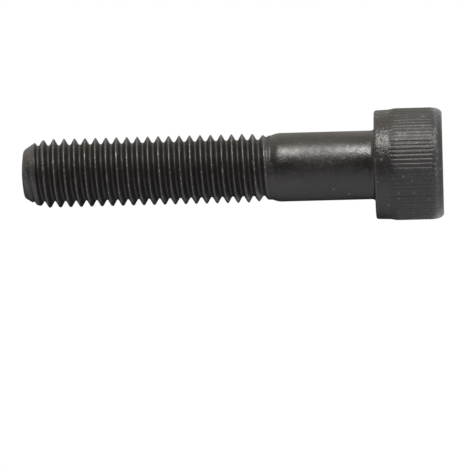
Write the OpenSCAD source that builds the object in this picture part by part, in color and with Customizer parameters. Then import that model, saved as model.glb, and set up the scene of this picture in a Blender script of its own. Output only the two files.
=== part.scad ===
// Hex socket cap screw, M10 x 50, coarse right-hand thread, black oxide finish.
// It stands on its head: the origin is the middle of the head's top face, and +Z runs along
// the axis to the tip. Millimetres.

/* [Head] */
// Diameter over the knurled ridges
head_d = 16; // [15:0.1:18]
// Height from the top face to the bearing face
head_h = 9.65; // [9:0.05:12]
// Height of the rounded edge at the top face
rim_h = 1.2; // [0.8:0.05:2]
// How far the rounded edge stands above the plain band where the knurl ends
rim_rise = 0.12; // [0:0.01:0.15]
// How far the rounded edge draws in at the top face
rim_inset = 0.7; // [0.3:0.05:0.75]
// Radius on the outer edge of the bearing face
bearing_edge_r = 0.35; // [0.1:0.05:0.6]
// Radius of the fillet between the bearing face and the shank
fillet_r = 0.5; // [0.2:0.05:0.8]

/* [Knurl] */
// Number of straight ridges round the head
ridge_count = 80; // [60:1:90]
// Height of a ridge above the plain head
ridge_h = 0.25; // [0.15:0.01:0.3]
// Share of the spacing that the flat top of a ridge takes
ridge_top = 0.28; // [0.15:0.01:0.4]
// Length of the slope at each end of a ridge
ridge_lead = 0.3; // [0.1:0.05:0.6]
// Length of the plain band between the knurl and the bearing face
band_h = 2.3; // [1.5:0.1:3.5]

/* [Socket] */
// Width of the hexagon across its flats
socket_af = 8; // [6:0.1:8.5]
// Depth of the flats, from the top face
socket_depth = 5; // [4.5:0.1:5.5]
// Diameter of the countersink at the top face
mouth_d = 10.6; // [10:0.1:12]
// Full angle of the countersink
mouth_angle = 120; // [90:5:130]
// Width of the ledge between the flats and the hollow floor
floor_ledge = 0.1; // [0.05:0.01:0.3]
// Diameter of the flat in the middle of the floor
floor_flat_d = 2.8; // [2:0.1:4]
// Depth of the hollow floor below the flats
floor_h = 0.7; // [0.3:0.05:1]

/* [Shank] */
// Length from the bearing face to the tip
shank_l = 50.5; // [40:0.1:65]
// Diameter of the plain shank
body_d = 9.8; // [9.4:0.05:10]
// Length of the plain shank, from the bearing face
body_l = 13.4; // [8:0.1:20]
// Diameter of the neck between the plain shank and the thread
neck_d = 9.2; // [8.8:0.05:9.3]
// Length of the taper from the plain shank to the neck
shoulder_l = 1.35; // [0.3:0.05:2]
// Length of the neck before the thread begins
neck_l = 0.2; // [0.1:0.05:2]

/* [Thread] */
// Diameter over the thread's crests
thread_d = 9.8; // [9.5:0.05:10]
// Pitch of the thread
pitch = 1.5; // [1.4:0.05:2]
// Depth from crest to root
thread_depth = 0.9; // [0.7:0.05:1]
// Width of the flat on the crest
crest_flat = 0.2; // [0.15:0.01:0.25]
// Angle between the two flanks
flank_angle = 60; // [50:1:60]
// Length over which the groove reaches its depth, from the neck
groove_run = 1; // [0.4:0.05:1.5]
// Length over which the crest reaches its height, from the neck
crest_run = 3; // [1:0.1:4]
// Turn of the thread's start round the axis, in degrees
thread_turn = 255; // [0:1:359]

/* [Tip] */
// Diameter of the end face
tip_d = 6.9; // [6:0.1:7.6]
// Height of the domed end face
dome_h = 0.35; // [0.1:0.05:0.6]
// Slope of the chamfer, from the axis
chamfer_angle = 33; // [30:1:50]
// Diameter of the crests where the chamfer ends
lead_d = 8.95; // [8.5:0.05:9.4]
// Slope of the crests behind the chamfer, from the axis
lead_angle = 15; // [5:1:20]

/* [Hidden] */
$fn = 96;
black = [0.17, 0.165, 0.16];
// A cut passes the face that it opens by this much
past = 0.5;

// Head
plain_r = head_d / 2 - ridge_h;
rim_foot_r = plain_r + rim_rise;
rim_r = (rim_h * rim_h + rim_inset * rim_inset) / (2 * rim_inset);
knurl_h = head_h - rim_h - band_h;
// The foot of a ridge starts this far inside the plain head
ridge_sink = 0.1;

// Shank
body_r = body_d / 2;
neck_r = neck_d / 2;
body_end = head_h + body_l;
neck_start = body_end + shoulder_l;
neck_end = neck_start + neck_l / 2;

// Thread, from the neck to the tip
columns = 36;
points_per_turn = 4;
crest_r = thread_d / 2;
root_r = crest_r - thread_depth;
flank_run = thread_depth * tan(flank_angle / 2);
root_flat = pitch - crest_flat - 2 * flank_run;
thread_start = neck_start + neck_l;
tip_z = head_h + shank_l;
chamfer_end = tip_z - dome_h;
tip_r = tip_d / 2;
lead_r = lead_d / 2;
// The threaded core lies this far inside the neck, so that only its end face is cut
core_gap = 0.02;
core_neck_r = neck_r - core_gap;
// The last crest fades out this far before the end face, and the first lies inside the shank
end_gap = 0.1;
last_crest = chamfer_end - pitch - end_gap;
turns = ceil((last_crest - thread_start + pitch) / pitch);
first_crest = last_crest - turns * pitch;
core_start = first_crest - end_gap;
rows = turns * points_per_turn;

// Heights of one turn's points above the upper edge of a crest
turn_steps = [0, flank_run, flank_run + root_flat, 2 * flank_run + root_flat];

// How far along its run a form is at a height, from 0 to 1, eased at both ends
function eased(x) = let (s = min(1, max(0, x))) s * s * (3 - 2 * s);
function grown(z, run) = eased((z - thread_start) / run);

// Largest radius that the chamfer and the crests behind it leave at a height
function chamfer_limit(z) = tip_r + (chamfer_end - z) * tan(chamfer_angle);
function lead_limit(z) =
    let (lead_end = chamfer_end - (lead_r - tip_r) / tan(chamfer_angle))
    lead_r + (lead_end - z) * tan(lead_angle);
function limit(z) = min(chamfer_limit(z), lead_limit(z));

// Radius of the thread at a height, on a crest or in the groove
function thread_r(z, groove) =
    groove
    ? min(limit(z), core_neck_r + (root_r - core_neck_r) * grown(z, groove_run))
    : min(limit(z), core_neck_r + (crest_r - core_neck_r) * grown(z, crest_run));

function column_angle(c) = thread_turn + 360 * c / columns;
function on_circle(r, angle) = [r * cos(angle), r * sin(angle)];
function on_column(c, r, z) = concat(on_circle(r, column_angle(c)), z);
function row_z(c, row) =
    first_crest + pitch * (floor(row / points_per_turn) + c / columns)
    + turn_steps[row % points_per_turn];
function in_groove(row) = row % points_per_turn == 1 || row % points_per_turn == 2;
function thread_point(c, row) =
    let (z = row_z(c, row))
    on_column(c, thread_r(z, in_groove(row)), z);

// Each column of the thread is one line of points from the shank to the tip. The columns climb by
// one pitch in a turn, so the last one meets the first one a turn higher.
function point_index(c, row) =
    c < columns ? c * (rows + 1) + row : row + points_per_turn;
base_ring = columns * (rows + 1);
tip_ring = base_ring + columns;
function base_index(c) = base_ring + c % columns;
function tip_index(c) = tip_ring + c % columns;

thread_points = concat(
    [for (c = [0 : columns - 1]) for (row = [0 : rows]) thread_point(c, row)],
    [for (c = [0 : columns - 1]) on_column(c, core_neck_r, core_start)],
    [for (c = [0 : columns - 1]) on_column(c, tip_r, chamfer_end)]
);

// Two triangles for each cell between two columns
function cells(c, last_row) = [
    for (row = [0 : last_row - 1]) each [
        [point_index(c, row), point_index(c + 1, row + 1), point_index(c + 1, row)],
        [point_index(c, row), point_index(c, row + 1), point_index(c + 1, row + 1)]
    ]
];
base_cells = [
    for (c = [0 : columns - 2]) each [
        [base_index(c), point_index(c, 0), point_index(c + 1, 0)],
        [base_index(c), point_index(c + 1, 0), base_index(c + 1)]
    ]
];
tip_cells = [
    for (c = [0 : columns - 2]) each [
        [point_index(c, rows), tip_index(c), tip_index(c + 1)],
        [point_index(c, rows), tip_index(c + 1), point_index(c + 1, rows)]
    ]
];
// Where the last column meets the first, the step of one pitch is closed at both ends
last = columns - 1;
base_step = concat(
    [[base_index(last), point_index(last, 0), base_index(0)]],
    [[base_index(0), point_index(last, 0), point_index(0, 0)]],
    [for (row = [0 : points_per_turn - 1])
        [point_index(last, 0), point_index(0, row + 1), point_index(0, row)]]
);
tip_step = concat(
    [for (row = [rows - points_per_turn : rows - 1])
        [point_index(0, rows), point_index(last, row), point_index(last, row + 1)]],
    [[point_index(0, rows), point_index(last, rows), tip_index(last)]],
    [[point_index(0, rows), tip_index(last), tip_index(0)]]
);
base_face = [for (c = [1 : columns - 2]) [base_index(0), base_index(c), base_index(c + 1)]];
tip_face = [for (c = [1 : columns - 2]) [tip_index(0), tip_index(c + 1), tip_index(c)]];

thread_faces = concat(
    [for (c = [0 : columns - 2]) each cells(c, rows)],
    cells(last, rows - points_per_turn),
    base_cells, tip_cells, base_step, tip_step, base_face, tip_face
);

// Half outline of the head without its ridges: radius along X, height along Y
module head_outline() {
    // from the rounded edge to the edge of the bearing face
    translate([0, rim_h]) square([plain_r, head_h - rim_h - bearing_edge_r]);
    // rounded edge at the top face, and its slope down to the foot of the ridges
    intersection() {
        translate([rim_foot_r - rim_r, rim_h]) circle(rim_r);
        square([rim_foot_r, rim_h]);
    }
    square([rim_foot_r - rim_r, rim_h]);
    polygon([[0, rim_h], [rim_foot_r, rim_h], [plain_r, rim_h + ridge_lead], [0, rim_h + ridge_lead]]);
    // edge of the bearing face
    square([plain_r - bearing_edge_r, head_h]);
    translate([plain_r - bearing_edge_r, head_h - bearing_edge_r]) circle(bearing_edge_r);
}

// Half outline of the shank as far as the neck, with the fillet under the head
module shank_outline() {
    square([body_r, body_end]);
    polygon([[0, body_end - past], [body_r, body_end - past], [body_r, body_end],
             [neck_r, neck_start], [neck_r, neck_end], [0, neck_end]]);
    difference() {
        translate([0, head_h - past]) square([body_r + fillet_r, fillet_r + past]);
        translate([body_r + fillet_r, head_h + fillet_r]) circle(fillet_r);
    }
}

// Head and plain shank, turned about the axis
module blank() {
    color(black) rotate_extrude() {
        head_outline();
        shank_outline();
    }
}

// Straight ridges round the head, each with a flat top, two sides and sloping ends
module knurl() {
    spacing = 360 / ridge_count;
    foot_r = plain_r - ridge_sink;
    top_r = plain_r + ridge_h;
    ridges = [
        for (n = [0 : ridge_count - 1]) each [
            on_circle(foot_r, n * spacing),
            on_circle(top_r, (n + 0.5 - ridge_top / 2) * spacing),
            on_circle(top_r, (n + 0.5 + ridge_top / 2) * spacing)
        ]
    ];
    // the turned profile slopes both ends down to the foot of the ridges
    color(black) translate([0, 0, rim_h]) intersection() {
        linear_extrude(knurl_h) polygon(ridges);
        rotate_extrude() polygon([
            [0, 0], [foot_r, 0], [top_r, ridge_lead], [top_r, knurl_h - ridge_lead],
            [foot_r, knurl_h], [0, knurl_h]
        ]);
    }
}

// Threaded core, from inside the shank to the end of the chamfer
module thread() {
    color(black) polyhedron(thread_points, thread_faces);
}

// Domed end face
module dome() {
    // its edge lies just inside the corners of the threaded core's end face
    edge_r = tip_r * cos(180 / columns) - core_gap;
    dome_r = (edge_r * edge_r + dome_h * dome_h) / (2 * dome_h);
    color(black) rotate_extrude() {
        translate([0, chamfer_end - past]) square([edge_r, past]);
        intersection() {
            translate([0, tip_z - dome_r]) circle(dome_r);
            translate([0, chamfer_end]) square([edge_r, dome_h]);
        }
    }
}

// Room for the key: the hexagon, its countersunk mouth and the hollow floor
module socket() {
    mouth_r = mouth_d / 2;
    mouth_slope = tan(mouth_angle / 2);
    inner_r = socket_af / 2 - floor_ledge;
    translate([0, 0, -past]) cylinder(h = past + socket_depth, d = socket_af / cos(30), $fn = 6);
    translate([0, 0, -past]) cylinder(
        h = past + (mouth_r - inner_r) / mouth_slope, r1 = mouth_r + past * mouth_slope, r2 = inner_r);
    translate([0, 0, socket_depth - past]) cylinder(h = past, r = inner_r);
    translate([0, 0, socket_depth]) cylinder(h = floor_h, r1 = inner_r, r2 = floor_flat_d / 2);
}

module cap_screw() {
    color(black) difference() {
        union() {
            blank();
            knurl();
            thread();
            dome();
        }
        socket();
    }
}

cap_screw();
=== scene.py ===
# Dressed model of a hex socket cap screw that stands on its head, tip up. The screw is one mesh, made
# from the tip to the floor of the socket, with a procedural black oxide finish. Its sizes are in
# millimetres and are turned into metres where the mesh is made. Floor, lamp and camera are in metres.
import math

import bpy
import numpy as np
from mathutils import Matrix, Vector


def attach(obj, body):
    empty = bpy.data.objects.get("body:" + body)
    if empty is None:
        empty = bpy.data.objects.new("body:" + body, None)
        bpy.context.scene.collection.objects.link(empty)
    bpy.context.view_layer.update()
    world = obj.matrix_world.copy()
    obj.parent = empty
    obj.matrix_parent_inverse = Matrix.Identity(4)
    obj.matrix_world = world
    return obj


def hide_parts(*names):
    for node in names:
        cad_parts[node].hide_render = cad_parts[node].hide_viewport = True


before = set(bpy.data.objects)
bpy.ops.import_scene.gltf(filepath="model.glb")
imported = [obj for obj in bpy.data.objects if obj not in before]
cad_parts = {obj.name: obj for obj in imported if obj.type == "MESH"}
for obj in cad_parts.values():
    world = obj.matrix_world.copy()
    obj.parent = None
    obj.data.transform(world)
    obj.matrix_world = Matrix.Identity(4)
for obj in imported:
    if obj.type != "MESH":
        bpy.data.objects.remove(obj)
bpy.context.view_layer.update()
MM = 0.001

# Head
PLAIN_R = 7.75
BAND_R = 7.8
RIDGE_R = 7.975
GROOVE_R = 7.905
RIDGES = 80
# Rounded top of a ridge and its side down to the groove, as shares of half the ridges' spacing
RIDGE_TOP = 0.4
RIDGE_SIDE = 0.58
RIDGE_LEAD = 0.4
BAND_LEAD = 1.3
HEAD_H = 9.65
RIM_H = 1.2
RIM_FOOT_R = 7.92
RIM_INSET = 0.6
BEARING_EDGE_R = 0.35
# Ring on the bearing face from which the head's finer columns start
BEARING_RING_R = 6.3
BAND_H = 2.3
FILLET_R = 0.5

# Socket
SOCKET_AF = 8.0
SOCKET_DEPTH = 5.0
MOUTH_R = 5.3
MOUTH_SLOPE = math.tan(math.radians(60))
FLOOR_R = 3.9
FLOOR_FLAT_R = 1.4
FLOOR_H = 0.7

# Shank
SHANK_L = 50.5
BODY_R = 4.9
BODY_L = 13.4
NECK_R = 4.59
SHOULDER_L = 1.35
NECK_L = 0.2

# Thread
PITCH = 1.5
CREST_R = 4.9
THREAD_DEPTH = 0.9
CREST_FLAT = 0.16
CREST_ROUND = 0.05
HALF_FLANK = math.radians(30)
GROOVE_RUN = 1.0
CREST_RUN = 3.0
THREAD_TURN = math.radians(255)
END_GAP = 0.1

# Tip
TIP_R = 3.45
DOME_H = 0.35
# Height of the round between the end face and the chamfer
TIP_EDGE = 0.07
CHAMFER_SLOPE = math.tan(math.radians(33))
LEAD_R = 4.475
LEAD_SLOPE = math.tan(math.radians(15))
# Softness of the edge where the chamfer cuts the thread
CUT_SOFT = 0.04

# Wear on the thread: how far from the middle of a crest it reaches, over what depth of cut it fades,
# and its share on the cut itself
RUBBED = 0.11
CUT_FADE = 0.1
CUT_WEAR = 0.3
# Depth over which the groove's painted shade comes in behind the cut
SHADE_FADE = 0.3
# Most wear on the edge of the bearing face and on the knurl's ridges, and most painted shade in its grooves
EDGE_WEAR = 0.35
RIDGE_WEAR = 0.1
KNURL_GROOVE_SHADE = 0.15

# Heights along the axis
KNURL_TOP = HEAD_H - BAND_H
BODY_END = HEAD_H + BODY_L
NECK_START = BODY_END + SHOULDER_L
# Where the round shank hands over to the columns of the thread
NECK_RING = NECK_START + 0.02
THREAD_START = NECK_START + NECK_L
TIP_Z = HEAD_H + SHANK_L
CHAMFER_END = TIP_Z - DOME_H
LEAD_END = CHAMFER_END - (LEAD_R - TIP_R) / CHAMFER_SLOPE
# Middle of the last crest, where the helix starts to count
LAST_CREST = CHAMFER_END - PITCH - END_GAP - CREST_FLAT / 2

# Columns round the shank, the head and the socket: the head's count is a whole multiple of the others
SHANK_COLUMNS = 144
HEAD_COLUMNS = 720
SOCKET_COLUMNS = 240

# Colours of the steel's surface
OXIDE_DARK = (0.0095, 0.0082, 0.0084)
OXIDE = (0.0135, 0.0118, 0.011)
OXIDE_PALE = (0.022, 0.019, 0.0165)
# painted shade: the colour towards which the grooves and the deep socket are darkened
PAINTED_SHADE = (0.013, 0.0095, 0.009)
SCUFFED = (0.07, 0.067, 0.063)
STREAKED = (0.06, 0.058, 0.055)
RUBBED_GREY = (0.12, 0.115, 0.11)
BARE_STEEL = (0.42, 0.41, 0.39)
DUST_GREY = (0.15, 0.146, 0.138)

# What glossy surfaces see round the screw: angle in degrees from the camera's side, positive towards
# the picture's top, and colour
STUDIO = [
    (-180, (0.01, 0.01, 0.01)),
    (-150, (0.02, 0.02, 0.02)),
    (-130, (0.22, 0.21, 0.22)),
    (-108, (0.6, 0.57, 0.6)),
    (-64, (1.0, 0.96, 1.0)),
    (-35, (0.78, 0.75, 0.78)),
    (-8, (0.06, 0.06, 0.06)),
    (25, (0.04, 0.04, 0.04)),
    (65, (0.88, 0.82, 0.72)),
    (120, (1.0, 0.94, 0.83)),
    (148, (0.8, 0.77, 0.72)),
    (165, (0.25, 0.24, 0.23)),
    (179, (0.04, 0.04, 0.04)),
]


def eased(x):
    """A soft step from 0 to 1."""
    s = np.clip(x, 0, 1)
    return s * s * (3 - 2 * s)


def turn_profile():
    """One turn of the thread, from the middle of a crest to the next: heights, and depths below it."""
    # where the flanks would meet, and the radius at the root that ends at the thread's depth
    meet = (PITCH - CREST_FLAT) / 2 / math.tan(HALF_FLANK)
    root_round = (meet - THREAD_DEPTH) / (1 / math.sin(HALF_FLANK) - 1)
    sweep = math.pi / 2 - HALF_FLANK
    corner = np.linspace(0, sweep, 3)
    corner_start = CREST_FLAT / 2 - CREST_ROUND * math.tan(sweep / 2)
    heights = corner_start + CREST_ROUND * np.sin(corner)
    depths = CREST_ROUND * (1 - np.cos(corner))
    root = np.linspace(-sweep, sweep, 5)
    root_heights = PITCH / 2 + root_round * np.sin(root)
    root_depths = THREAD_DEPTH - root_round * (1 - np.cos(root))
    flank_height = (heights[-1] + root_heights[0]) / 2
    flank_depth = (depths[-1] + root_depths[0]) / 2
    # down to the middle of the root, and the same way back
    heights = np.concatenate([[0], heights, [flank_height], root_heights[:3]])
    depths = np.concatenate([[0], depths, [flank_depth], root_depths[:3]])
    return np.concatenate([heights, PITCH - heights[-2::-1]]), np.concatenate([depths, depths[-2::-1]])


TURN_HEIGHTS, TURN_DEPTHS = turn_profile()


def thread_radius(angle, z):
    """Radius of the thread, how worn it is there, and how deep the point lies in the groove, 0 to 1, which
    sets its painted shade.
    """
    crest = LAST_CREST + PITCH * (angle - THREAD_TURN) / (2 * math.pi)
    above = np.mod(z - crest, PITCH)
    share = np.interp(above, TURN_HEIGHTS, TURN_DEPTHS) / THREAD_DEPTH
    high = NECK_R + (CREST_R - NECK_R) * eased((z - THREAD_START) / CREST_RUN)
    low = NECK_R + (CREST_R - THREAD_DEPTH - NECK_R) * eased((z - THREAD_START) / GROOVE_RUN)
    free = high + (low - high) * share
    chamfer = TIP_R + (CHAMFER_END - z) * CHAMFER_SLOPE
    lead = LEAD_R + (LEAD_END - z) * LEAD_SLOPE
    limit = np.minimum(chamfer, lead)
    # the smaller of the two, with a soft edge between them, and the free thread where it is well inside
    inside = 8
    gap = np.clip((limit - free) / CUT_SOFT, -30, inside)
    radius = np.where(gap < inside, limit - CUT_SOFT * np.log1p(np.exp(gap)), free)
    # the crests are rubbed along their middle, and the cut of the chamfer a little all over
    line = np.clip(1 - np.minimum(above, PITCH - above) / RUBBED, 0, 1)
    cut = (free - limit) / CUT_FADE
    wear = line * np.clip(2.0 - cut, 0, 1) + CUT_WEAR * np.clip(cut, 0, 1)
    # the groove's depth, faded in behind the cut, gives the painted shade of the groove
    return radius, wear, share * np.clip((limit - radius) / SHADE_FADE, 0, 1)


class Skin:
    """The screw's surface: points in millimetres, faces, and how worn and how deep each point is; the depth
    sets its painted shade.
    """

    def __init__(self):
        self.points = []
        self.faces = []
        self.wear = []
        self.hollow = []

    def add(self, x, y, z, wear, hollow):
        """New points, given as arrays or as one value for all. Returns their numbers."""
        start = len(self.points)
        x, y, z, wear, hollow = np.broadcast_arrays(x, y, z, wear, hollow)
        self.points += list(zip(x.tolist(), y.tolist(), z.tolist()))
        self.wear += wear.tolist()
        self.hollow += hollow.tolist()
        return list(range(start, len(self.points)))

    def ring(self, count, radius, z, wear=0.0, hollow=0.0):
        angle = np.arange(count) * 2 * math.pi / count
        return self.add(radius * np.cos(angle), radius * np.sin(angle), z, wear, hollow)

    def join(self, upper, lower):
        """Faces between two rings, which have as many points or one of them whole times as many."""
        if len(upper) > len(lower):
            self.fan(lower, upper, False)
        elif len(upper) < len(lower):
            self.fan(upper, lower, True)
        else:
            n = len(upper)
            for i in range(n):
                k = (i + 1) % n
                self.faces.append((upper[i], lower[i], lower[k], upper[k]))

    def fan(self, few, many, few_above):
        """Faces between two rings, where each point of one is shared by several of the other."""
        times = len(many) // len(few)
        for i in range(len(few)):
            k = (i + 1) % len(few)
            fine = [many[(i * times + j) % len(many)] for j in range(times + 1)]
            middle = times // 2
            parts = [(few[i], fine[j], fine[j + 1]) for j in range(middle)]
            parts.append((few[i], fine[middle], few[k]))
            parts += [(few[k], fine[j], fine[j + 1]) for j in range(middle, times)]
            self.faces += [part if few_above else part[::-1] for part in parts]

    def zip(self, left, right):
        """Faces between two columns of points that run up side by side with other steps."""
        i = j = 0
        while i < len(left) - 1 or j < len(right) - 1:
            up_left = self.points[left[i + 1]][2] if i < len(left) - 1 else math.inf
            up_right = self.points[right[j + 1]][2] if j < len(right) - 1 else math.inf
            if up_left <= up_right:
                self.faces.append((left[i], right[j], left[i + 1]))
                i += 1
            else:
                self.faces.append((left[i], right[j], right[j + 1]))
                j += 1


def arc(centre_r, centre_z, radius, start, end, steps):
    """Points of an arc in the half plane: angles in degrees from the outward direction, towards the tip."""
    turns = np.radians(np.linspace(start, end, steps))
    return [(centre_r + radius * math.cos(t), centre_z + radius * math.sin(t)) for t in turns]


def add_dome(skin):
    """The end face: a low dome whose edge is rounded into the chamfer."""
    dome_r = (TIP_R ** 2 + DOME_H ** 2) / (2 * DOME_H)
    apex = skin.add(0.0, 0.0, [TIP_Z], 0.0, 0.0)[0]
    upper = None
    for r in (0.7, 1.4, 2.1, 2.7, 3.1):
        z = TIP_Z - dome_r + math.sqrt(dome_r ** 2 - r ** 2)
        lower = skin.ring(SHANK_COLUMNS, r, z)
        if upper is None:
            n = len(lower)
            skin.faces += [(apex, lower[i], lower[(i + 1) % n]) for i in range(n)]
        else:
            skin.join(upper, lower)
        upper = lower
    # the round: radius, drop below the chamfer's upper end, and wear
    for r, drop, wear in ((3.27, -0.045, 0.5), (3.38, 0.0, 0.8), (TIP_R, TIP_EDGE, 0.8)):
        lower = skin.ring(SHANK_COLUMNS, r, CHAMFER_END - drop, wear)
        skin.join(upper, lower)
        upper = lower
    return upper


def add_thread(skin, tip_ring):
    """Columns of points from the neck to the tip, each shifted along the helix by its angle."""
    steps = len(TURN_HEIGHTS) - 1
    top = CHAMFER_END - TIP_EDGE
    turns = math.ceil((LAST_CREST - THREAD_START + PITCH) / PITCH)
    rows = np.arange(turns * steps + 1)
    climb = LAST_CREST - turns * PITCH + PITCH * (rows // steps) + TURN_HEIGHTS[rows % steps]
    # the points along the helix stop short of the rings at both ends
    lowest = NECK_RING + 0.05
    highest = top - 0.04
    # steps over the chamfer, past the last crest, where that leaves more than a short gap
    end_steps = 14
    short_gap = 0.12
    columns = []
    for c in range(SHANK_COLUMNS):
        angle = c * 2 * math.pi / SHANK_COLUMNS
        lead = math.fmod(angle - THREAD_TURN + 4 * math.pi, 2 * math.pi)
        along = climb + PITCH * lead / (2 * math.pi)
        along = along[(along > lowest) & (along < highest)]
        rest = np.linspace(along[-1], top, end_steps + 2)[1:-1]
        z = np.concatenate([along, rest]) if top - along[-1] > short_gap else along
        radius, wear, deep = thread_radius(THREAD_TURN + lead, z)
        # the crests carry the marks of handling, the grooves get painted shade
        column = skin.add(radius * math.cos(angle), radius * math.sin(angle), z, wear, deep)
        columns.append(column)
    neck_ring = skin.ring(SHANK_COLUMNS, NECK_R, NECK_RING)
    for c in range(SHANK_COLUMNS):
        k = (c + 1) % SHANK_COLUMNS
        left = [neck_ring[c]] + columns[c] + [tip_ring[c]]
        right = [neck_ring[k]] + columns[k] + [tip_ring[k]]
        skin.zip(left, right)
    return neck_ring


def add_shank(skin, neck_ring):
    """Shoulder, plain shank, fillet and the inner ring of the bearing face."""
    upper = neck_ring
    slope = np.linspace(NECK_START, BODY_END, 10)
    rise = np.sin(math.pi / 2 * np.clip((NECK_START - slope) / SHOULDER_L, 0, 1))
    outline = list(zip(NECK_R + (BODY_R - NECK_R) * rise, slope))
    straight = np.linspace(BODY_END - 0.4, HEAD_H + FILLET_R, 12)
    outline += [(BODY_R, z) for z in straight]
    outline += arc(BODY_R + FILLET_R, HEAD_H + FILLET_R, FILLET_R, 180, 270, 8)[1:]
    for r, z in outline:
        lower = skin.ring(SHANK_COLUMNS, r, z)
        skin.join(upper, lower)
        upper = lower
    return upper


def knurl_radius(angle, foot, rise, strength):
    """Radius on the knurl, and how high up the ridge the point lies, 0 to 1.

    The ridges are rounded and the grooves between them narrow. strength says how deeply a groove is
    pressed in, and rise how far the ridges have come up out of the foot.
    """
    phase = np.mod(angle * RIDGES / (2 * math.pi), 1.0)
    off = np.abs(phase - 0.5) * 2
    height = 1 - eased((off - RIDGE_TOP) / RIDGE_SIDE)
    full = RIDGE_R - (RIDGE_R - GROOVE_R) * (1 - height) * strength
    return foot + (full - foot) * rise, height


def add_head(skin, shank_ring):
    """Bearing face, its edge, the plain band, the knurl and the rounded edge at the top face."""
    face_ring = skin.ring(SHANK_COLUMNS, BEARING_RING_R, HEAD_H)
    skin.join(shank_ring, face_ring)
    upper = skin.ring(HEAD_COLUMNS, PLAIN_R - BEARING_EDGE_R - 0.05, HEAD_H, 0.1)
    skin.join(face_ring, upper)
    edge = arc(PLAIN_R - BEARING_EDGE_R, HEAD_H - BEARING_EDGE_R, BEARING_EDGE_R, 90, 0, 7)
    for n, (r, z) in enumerate(edge):
        lower = skin.ring(HEAD_COLUMNS, r, z, EDGE_WEAR * math.sin(math.pi * n / (len(edge) - 1)))
        skin.join(upper, lower)
        upper = lower

    angle = np.arange(HEAD_COLUMNS) * 2 * math.pi / HEAD_COLUMNS
    spacings = angle * RIDGES / (2 * math.pi)
    ridge = np.floor(spacings).astype(int)
    random = np.random.default_rng(182)
    # each ridge ends a little sooner or later than its neighbours
    start = random.uniform(-0.09, 0.09, RIDGES)[ridge]
    end = random.uniform(-0.07, 0.07, RIDGES)[ridge]
    # the grooves are pressed in more or less deeply
    pressed = random.uniform(0.5, 1.25, RIDGES)
    strength = pressed[np.round(spacings).astype(int) % RIDGES]
    steps = np.linspace(0, 1, 7)
    rises = eased(steps)
    # height, radius of the foot, and how far the ridges have come up
    levels = [(KNURL_TOP + 0.8, BAND_R - 0.01, 0.0), (KNURL_TOP + 0.65, BAND_R, 0.0)]
    levels += [(KNURL_TOP + 0.5 + start - BAND_LEAD * s, BAND_R, rise) for s, rise in zip(steps, rises)]
    middle = np.linspace(KNURL_TOP - 1.1, RIM_H + 0.8, 6)
    levels += [(z, RIM_FOOT_R, 1.0) for z in middle]
    for s, rise in zip(steps[::-2], rises[::-2]):
        levels.append((RIM_H + end * s + RIDGE_LEAD * s, RIM_FOOT_R, rise))
    for z, foot, rise in levels:
        radius, height = knurl_radius(angle, foot, rise, strength)
        worn = RIDGE_WEAR * rise * eased((height - 0.8) / 0.2)
        # painted shade in the knurl's grooves, deepest at their bottoms
        knurl_shade = rise * (1 - height) * KNURL_GROOVE_SHADE
        lower = skin.add(radius * np.cos(angle), radius * np.sin(angle), z, worn, knurl_shade)
        skin.join(upper, lower)
        upper = lower

    rim_r = (RIM_H ** 2 + RIM_INSET ** 2) / (2 * RIM_INSET)
    # the rounded edge runs to just short of the top face, where a small round takes over
    small_round = 0.05
    last = math.degrees(math.asin((RIM_H - small_round) / rim_r))
    outline = arc(RIM_FOOT_R - rim_r, RIM_H, rim_r, -4, -last, 10)
    edge_r = outline[-1][0]
    outline += [(edge_r - small_round, 0.022), (edge_r - 0.11, 0.006), (edge_r - 0.18, 0.0)]
    # how rubbed each ring is
    marks = [0.5, 0.6, 0.7, 0.5, 0.3, 0.1, 0.1, 0.3, 0.5, 0.6, 0.6, 0.4, 0.1]
    for (r, z), wear in zip(outline, marks):
        lower = skin.ring(HEAD_COLUMNS, r, z, wear)
        skin.join(upper, lower)
        upper = lower
    return upper


def hexagon_radius(angle):
    """Distance from the axis to the socket's wall. Its corners lie on the X axis and every 60 degrees."""
    sixth = math.pi / 3
    return SOCKET_AF / 2 / np.cos(np.mod(angle, sixth) - sixth / 2)


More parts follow.
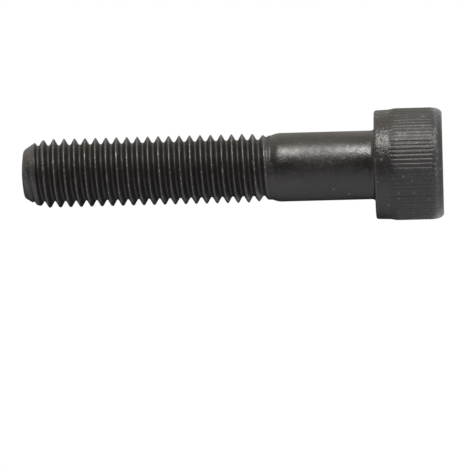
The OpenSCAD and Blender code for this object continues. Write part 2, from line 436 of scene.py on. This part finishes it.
def add_socket(skin, head_ring):
    """Top face, countersunk mouth, the hexagon's walls and the sunken floor, with painted shade that grows
    deeper down.
    """
    angle = np.arange(SOCKET_COLUMNS) * 2 * math.pi / SOCKET_COLUMNS
    wall = hexagon_radius(angle)
    lip = (MOUTH_R - wall) / MOUTH_SLOPE
    mid = (MOUTH_R + wall) / 2
    # radius, depth from the top face, wear, and painted shade, which grows with the depth
    levels = [
        (MOUTH_R + 0.9, 0.0, 0.0, 0.0),
        (MOUTH_R + 0.08, 0.0, 0.3, 0.0),
        (MOUTH_R, 0.012, 0.5, 0.0),
        (MOUTH_R - 0.08, 0.08 / MOUTH_SLOPE + 0.006, 0.3, 0.1),
        (mid, (MOUTH_R - mid) / MOUTH_SLOPE, 0.0, 0.15),
        (wall + 0.05, lip - 0.05 / MOUTH_SLOPE, 0.5, 0.2),
        (wall + 0.012, lip + 0.005, 0.8, 0.2),
        (wall, lip + 0.06, 0.5, 0.3),
        (wall, lip + 0.5, 0.0, 0.5),
        (wall, 2.6, 0.0, 0.7),
        (wall, SOCKET_DEPTH - 0.4, 0.0, 0.9),
        (wall, SOCKET_DEPTH - 0.03, 0.0, 1.0),
        (wall - 0.03, SOCKET_DEPTH, 0.0, 1.0),
    ]
    upper = head_ring
    for r, depth, wear, hollow in levels:
        lower = skin.add(r * np.cos(angle), r * np.sin(angle), depth, wear, hollow)
        skin.join(upper, lower)
        upper = lower
    # the socket's floor gets the painted shade of its deepest part
    floor = [(FLOOR_R, 0.0), (FLOOR_R - 0.05, 0.02)]
    for share in (0.33, 0.66, 0.96, 1.0):
        floor.append((FLOOR_R + (FLOOR_FLAT_R - FLOOR_R) * share, FLOOR_H * share))
    floor.append((FLOOR_FLAT_R * 0.5, FLOOR_H))
    for r, drop in floor:
        lower = skin.ring(SOCKET_COLUMNS, r, SOCKET_DEPTH + drop, 0.0, 0.9)
        skin.join(upper, lower)
        upper = lower
    centre = skin.add(0.0, 0.0, [SOCKET_DEPTH + FLOOR_H], 0.0, 0.9)[0]
    n = len(upper)
    skin.faces += [(centre, upper[(i + 1) % n], upper[i]) for i in range(n)]


def make_screw():
    """The whole screw as one mesh, with its wear and its depth kept on the points; the depth sets its
    painted shade.
    """
    skin = Skin()
    tip_ring = add_dome(skin)
    neck_ring = add_thread(skin, tip_ring)
    shank_ring = add_shank(skin, neck_ring)
    head_ring = add_head(skin, shank_ring)
    add_socket(skin, head_ring)
    mesh = bpy.data.meshes.new("cap_screw_body")
    points = (np.array(skin.points) * MM).tolist()
    mesh.from_pydata(points, [], skin.faces)
    for name, values in (("wear", skin.wear), ("hollow", skin.hollow)):
        attribute = mesh.attributes.new(name, "FLOAT", "POINT")
        attribute.data.foreach_set("value", np.array(values, dtype=np.float32))
    mesh.update()
    mesh.shade_smooth()
    mesh.set_sharp_from_angle(angle=math.radians(38))
    return bpy.data.objects.new("cap_screw_body", mesh)


class Nodes:
    """Short calls for a material's nodes."""

    def __init__(self, tree):
        self.tree = tree
        tree.nodes.clear()

    def add(self, kind, **settings):
        node = self.tree.nodes.new(kind)
        for key, value in settings.items():
            setattr(node, key, value)
        return node

    def link(self, source, target):
        self.tree.links.new(source, target)

    def put(self, socket, value):
        if isinstance(value, bpy.types.NodeSocket):
            self.link(value, socket)
        else:
            socket.default_value = value

    def math(self, operation, a, b=0.0, c=0.0):
        """A sum on numbers or on the outputs of other nodes."""
        node = self.add("ShaderNodeMath", operation=operation)
        for socket, value in zip(node.inputs, (a, b, c)):
            self.put(socket, value)
        return node.outputs[0]

    def ramp(self, factor, stops):
        """A colour ramp through stops, each of them a place and a colour."""
        node = self.add("ShaderNodeValToRGB")
        ramp = node.color_ramp
        while len(ramp.elements) < len(stops):
            ramp.elements.new(0.5)
        for element, (place, colour) in zip(ramp.elements, stops):
            element.position = place
            element.color = (*colour, 1)
        self.link(factor, node.inputs["Fac"])
        return node.outputs["Color"]

    def noise(self, vector, scale, detail, roughness, distortion=0.0):
        node = self.add("ShaderNodeTexNoise")
        self.link(vector, node.inputs["Vector"])
        for name, value in (("Scale", scale), ("Detail", detail), ("Roughness", roughness),
                            ("Distortion", distortion)):
            node.inputs[name].default_value = value
        return node.outputs["Fac"]

    def mix(self, factor, a, b):
        """A mix of two colours, each given as three numbers or as the output of another node."""
        node = self.add("ShaderNodeMix", data_type="RGBA")
        self.put(node.inputs["Factor"], factor)
        for name, value in (("A", a), ("B", b)):
            socket = next(s for s in node.inputs if s.name == name and s.type == "RGBA")
            self.put(socket, (*value, 1) if isinstance(value, tuple) else value)
        return next(s for s in node.outputs if s.type == "RGBA")

    def spread(self, value, low, high):
        """How far a value is from low to high, held between 0 and 1."""
        node = self.add("ShaderNodeMapRange")
        for name, number in (("Value", value), ("From Min", low), ("From Max", high)):
            self.put(node.inputs[name], number)
        return node.outputs["Result"]

    def stretched(self, vector, scale):
        """A place with each of its coordinates times its own factor."""
        node = self.add("ShaderNodeVectorMath", operation="MULTIPLY")
        self.link(vector, node.inputs[0])
        node.inputs[1].default_value = scale
        return node.outputs[0]


def dust(n, place, head):
    """Soft grey specks, more of them on the head."""
    cells = n.add("ShaderNodeTexVoronoi")
    n.link(place, cells.inputs["Vector"])
    cells.inputs["Scale"].default_value = 1.2
    draw = n.add("ShaderNodeSeparateColor")
    n.link(cells.outputs["Color"], draw.inputs[0])
    # each cell draws its size, and whether it has a speck at all
    size = n.math("MULTIPLY_ADD", draw.outputs["Green"], 0.2, 0.2)
    spot = n.spread(n.math("DIVIDE", cells.outputs["Distance"], size), 1.0, 0.4)
    limit = n.math("MULTIPLY_ADD", head, -0.27, 0.98)
    return n.math("MULTIPLY", spot, n.math("GREATER_THAN", draw.outputs["Red"], limit))


def black_oxide():
    """Dark satin oxide over steel: mottled, paler where it is rubbed, with dust, fine scuffs and painted
    shade in the grooves and the socket.
    """
    material = bpy.data.materials.new("black_oxide")
    material.use_nodes = True
    n = Nodes(material.node_tree)
    coords = n.add("ShaderNodeTexCoord").outputs["Object"]
    place = n.stretched(coords, (1 / MM, 1 / MM, 1 / MM))
    wear = n.add("ShaderNodeAttribute", attribute_name="wear").outputs["Fac"]
    hollow = n.add("ShaderNodeAttribute", attribute_name="hollow").outputs["Fac"]
    axes = n.add("ShaderNodeSeparateXYZ")
    n.link(place, axes.inputs[0])
    height = axes.outputs["Z"]
    # where the head, the knurl and the bearing face are
    head = n.spread(height, HEAD_H + 0.3, HEAD_H - 0.3)
    knurl = n.spread(height, KNURL_TOP + 0.5, KNURL_TOP - 0.5)
    knurl = n.math("MULTIPLY", knurl, n.spread(height, RIM_H, RIM_H + 0.9))
    seat = n.spread(n.math("ABSOLUTE", n.math("SUBTRACT", height, HEAD_H)), 0.06, 0.02)

    cloud = n.noise(place, 0.35, 4, 0.6)
    blotch = n.noise(place, 1.3, 4, 0.65, 0.5)
    grain = n.noise(place, 6.0, 3, 0.6)
    fine = n.noise(place, 20.0, 2, 0.5)
    # lines along the axis, left by drawing and turning the blank
    streak = n.noise(n.stretched(place, (4.0, 4.0, 0.5)), 1.0, 3, 0.6)

    base = n.ramp(cloud, [(0.32, OXIDE_DARK), (0.52, OXIDE), (0.7, OXIDE_PALE)])
    scuff = n.math("MULTIPLY", n.spread(blotch, 0.54, 0.68), n.spread(grain, 0.42, 0.62))
    base = n.mix(n.math("MULTIPLY", scuff, 0.7), base, SCUFFED)
    base = n.mix(n.math("MULTIPLY", n.spread(streak, 0.58, 0.72), 0.25), base, STREAKED)

    # crests and edges rubbed to a paler grey, in patches, with bare spots
    rub = n.math("MULTIPLY", wear, n.spread(n.noise(place, 1.1, 4, 0.65), 0.26, 0.66))
    base = n.mix(rub, base, RUBBED_GREY)
    bare = n.math("MULTIPLY", wear, n.spread(n.noise(place, 2.2, 3, 0.7), 0.57, 0.65))
    base = n.mix(n.math("MULTIPLY", bare, 0.8), base, BARE_STEEL)
    base = n.mix(n.math("MULTIPLY", dust(n, place, head), 0.8), base, DUST_GREY)
    # painted shade: the grooves and the deep socket are darkened by their depth
    base = n.mix(n.math("MULTIPLY", hollow, 0.8), base, PAINTED_SHADE)

    rough = n.math("MULTIPLY_ADD", blotch, 0.22, 0.18)
    rough = n.math("MULTIPLY_ADD", scuff, 0.12, rough)
    rough = n.math("MULTIPLY_ADD", grain, 0.08, rough)
    # the bearing face, the grooves, the knurl and the thread's rubbed crests are duller
    rough = n.math("MULTIPLY_ADD", seat, 0.35, rough)
    rough = n.math("MULTIPLY_ADD", hollow, 0.18, rough)
    rough = n.math("MULTIPLY_ADD", knurl, 0.11, rough)
    rubbed_thread = n.math("MULTIPLY", wear, n.math("SUBTRACT", 1.0, head))
    rough = n.math("MULTIPLY_ADD", rubbed_thread, 0.12, rough)
    # so is the middle of the plain shank, while a band of it near the head is brighter
    from_middle = n.math("ABSOLUTE", n.math("SUBTRACT", height, BODY_END - 5.6))
    rough = n.math("MULTIPLY_ADD", n.spread(from_middle, 5.0, 1.5), 0.08, rough)
    from_band = n.math("ABSOLUTE", n.math("SUBTRACT", height, HEAD_H + 1.7))
    rough = n.math("MULTIPLY_ADD", n.spread(from_band, 1.7, 0.5), -0.03, rough)

    # relief in millimetres, with rough patches, most of all on the head, where the oxide lies over dents
    relief = n.math("MULTIPLY", blotch, 0.05)
    patches = n.spread(n.noise(place, 0.4, 2, 0.5), 0.46, 0.6)
    patches = n.math("MULTIPLY_ADD", patches, 0.3, n.math("MULTIPLY_ADD", knurl, -0.6, head))
    patches = n.math("MULTIPLY_ADD", seat, -0.5, patches)
    dents = n.spread(n.noise(place, 2.3, 3, 0.6), 0.38, 0.66)
    pitted = n.math("MULTIPLY", dents, n.math("MINIMUM", patches, 1.0))
    relief = n.math("MULTIPLY_ADD", pitted, 0.021, relief)
    relief = n.math("MULTIPLY_ADD", grain, 0.008, relief)
    relief = n.math("MULTIPLY_ADD", fine, 0.001, relief)
    relief = n.math("MULTIPLY_ADD", streak, 0.008, relief)
    bump = n.add("ShaderNodeBump")
    bump.inputs["Strength"].default_value = 1.0
    bump.inputs["Distance"].default_value = MM
    n.link(relief, bump.inputs["Height"])

    shader = n.add("ShaderNodeBsdfPrincipled")
    n.link(base, shader.inputs["Base Color"])
    n.link(rough, shader.inputs["Roughness"])
    n.link(bump.outputs["Normal"], shader.inputs["Normal"])
    n.link(n.math("MULTIPLY", bare, 0.5), shader.inputs["Metallic"])
    shader.inputs["IOR"].default_value = 1.57
    output = n.add("ShaderNodeOutputMaterial")
    n.link(shader.outputs["BSDF"], output.inputs["Surface"])
    return material


def white_seen(n, seen, lit):
    """Mixes two shaders: what the camera, mirrors and glass see, and what lights the rest."""
    path = n.add("ShaderNodeLightPath")
    direct = n.math("MAXIMUM", path.outputs["Is Camera Ray"], path.outputs["Is Glossy Ray"])
    direct = n.math("MAXIMUM", direct, path.outputs["Is Transmission Ray"])
    mix = n.add("ShaderNodeMixShader")
    n.link(direct, mix.inputs[0])
    n.link(lit, mix.inputs[1])
    n.link(seen, mix.inputs[2])
    return mix.outputs[0]


def make_floor():
    """A round white floor. It glows white to the camera and keeps a soft shadow."""
    mesh = bpy.data.meshes.new("floor")
    radius = 0.06
    corners = 96
    turns = [2 * math.pi * i / corners for i in range(corners)]
    points = [(radius * math.cos(turn), radius * math.sin(turn), 0) for turn in turns]
    mesh.from_pydata(points, [], [list(range(corners))])
    floor = bpy.data.objects.new("floor", mesh)
    bpy.context.scene.collection.objects.link(floor)
    material = bpy.data.materials.new("floor_white")
    material.use_nodes = True
    n = Nodes(material.node_tree)
    paint = n.add("ShaderNodeBsdfDiffuse")
    paint.inputs["Color"].default_value = (0.5, 0.5, 0.5, 1)
    glow = n.add("ShaderNodeEmission")
    glow.inputs["Color"].default_value = (1, 1, 1, 1)
    glow.inputs["Strength"].default_value = 0.86
    both = n.add("ShaderNodeAddShader")
    n.link(paint.outputs[0], both.inputs[0])
    n.link(glow.outputs[0], both.inputs[1])
    output = n.add("ShaderNodeOutputMaterial")
    n.link(white_seen(n, both.outputs[0], paint.outputs[0]), output.inputs["Surface"])
    mesh.materials.append(material)


def make_world():
    """White to the camera. Glossy surfaces see bright sides, with the dark in front and behind."""
    world = bpy.data.worlds.new("studio")
    bpy.context.scene.world = world
    world.use_nodes = True
    n = Nodes(world.node_tree)
    direction = n.add("ShaderNodeSeparateXYZ")
    n.link(n.add("ShaderNodeTexCoord").outputs["Generated"], direction.inputs[0])
    # angle round the screw from the camera's side, from -180 to 180 degrees, as a share of a turn
    turn = n.math("ARCTAN2", direction.outputs["X"], n.math("MULTIPLY", direction.outputs["Y"], -1.0))
    share = n.math("ADD", n.math("DIVIDE", turn, 2 * math.pi), 0.5)
    stops = [(0.5 + angle / 360, colour) for angle, colour in STUDIO]
    studio = n.ramp(share, stops)
    path = n.add("ShaderNodeLightPath")
    seen = n.add("ShaderNodeBackground")
    n.link(n.mix(path.outputs["Is Glossy Ray"], (1.0, 1.0, 1.0), studio), seen.inputs["Color"])
    lit = n.add("ShaderNodeBackground")
    lit.inputs["Color"].default_value = (0.98, 0.99, 1.0, 1)
    lit.inputs["Strength"].default_value = 0.45
    output = n.add("ShaderNodeOutputWorld")
    n.link(white_seen(n, seen.outputs[0], lit.outputs[0]), output.inputs["Surface"])


def add_light(name, angle, height, distance, size, power, colour):
    """A flat lamp at an angle in degrees round the screw from the camera's side, aimed at its middle."""
    lamp = bpy.data.lights.new(name, "AREA")
    lamp.shape = "RECTANGLE"
    lamp.size, lamp.size_y = size
    lamp.energy = power
    lamp.color = colour
    turn = math.radians(angle)
    middle = Vector((0, 0, TIP_Z / 2 * MM))
    place = middle + Vector((distance * math.sin(turn), -distance * math.cos(turn), height))
    light = bpy.data.objects.new(name, lamp)
    aim = (place - middle).to_track_quat("Z", "Y").to_matrix().to_4x4()
    light.matrix_world = Matrix.Translation(place) @ aim
    bpy.context.scene.collection.objects.link(light)


def make_camera():
    """Lying on its side in front of the top face, so that the screw lies along the picture."""
    image = 467
    half = image / 2
    # pixels where the photograph shows the axis at the head's top face and at the tip
    head_x, head_y = 442.9, 163.3
    tip_x, tip_y = 22.6, 174.1
    # the pixel column that the camera stands in front of, as the lean of the thread's crests shows
    eye_x = 441
    # metres from the axis, and metres to a pixel there
    distance = 0.53
    px = TIP_Z * MM / math.hypot(head_x - tip_x, head_y - tip_y)
    # picture directions in the scene: along the axis to the tip, and across it
    tilt = math.atan2(tip_y - head_y, head_x - tip_x)
    axis, across = Vector((0, 0, 1)), Vector((1, 0, 0))
    right = -axis * math.cos(tilt) - across * math.sin(tilt)
    up = across * math.cos(tilt) - axis * math.sin(tilt)
    back = right.cross(up)
    middle = axis * (TIP_Z / 2 * MM)
    off_x = eye_x - (head_x + tip_x) / 2
    off_y = (head_y + tip_y) / 2 - half
    place = middle + right * (off_x * px) + up * (off_y * px) + back * distance
    # turned sideways until both ends of the screw are where the photograph shows them
    to_head = math.atan((head_x - eye_x) * px / distance)
    to_tip = math.atan((tip_x - eye_x) * px / distance)
    aside = to_head - (to_head - to_tip) * (head_x - half) / (head_x - tip_x)
    focus = (head_x - tip_x) / (math.tan(to_head - aside) - math.tan(to_tip - aside))
    data = bpy.data.cameras.new("camera")
    data.sensor_width = 36
    data.lens = data.sensor_width * focus / image
    data.clip_start = 0.1
    data.clip_end = 10
    camera = bpy.data.objects.new("camera", data)
    facing = Matrix((right, up, back)).transposed().to_4x4()
    camera.matrix_world = Matrix.Translation(place) @ facing @ Matrix.Rotation(-aside, 4, "Y")
    bpy.context.scene.collection.objects.link(camera)
    bpy.context.scene.camera = camera


make_camera()
make_world()
make_floor()
add_light("key", 52, -0.01, 0.55, (0.20, 0.10), 2.12, (1.0, 0.975, 0.94))

screw = make_screw()
bpy.context.scene.collection.objects.link(screw)
screw.data.materials.append(black_oxide())
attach(screw, "root")
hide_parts("cap_screw")

scene = bpy.context.scene
scene.view_settings.view_transform = "Standard"
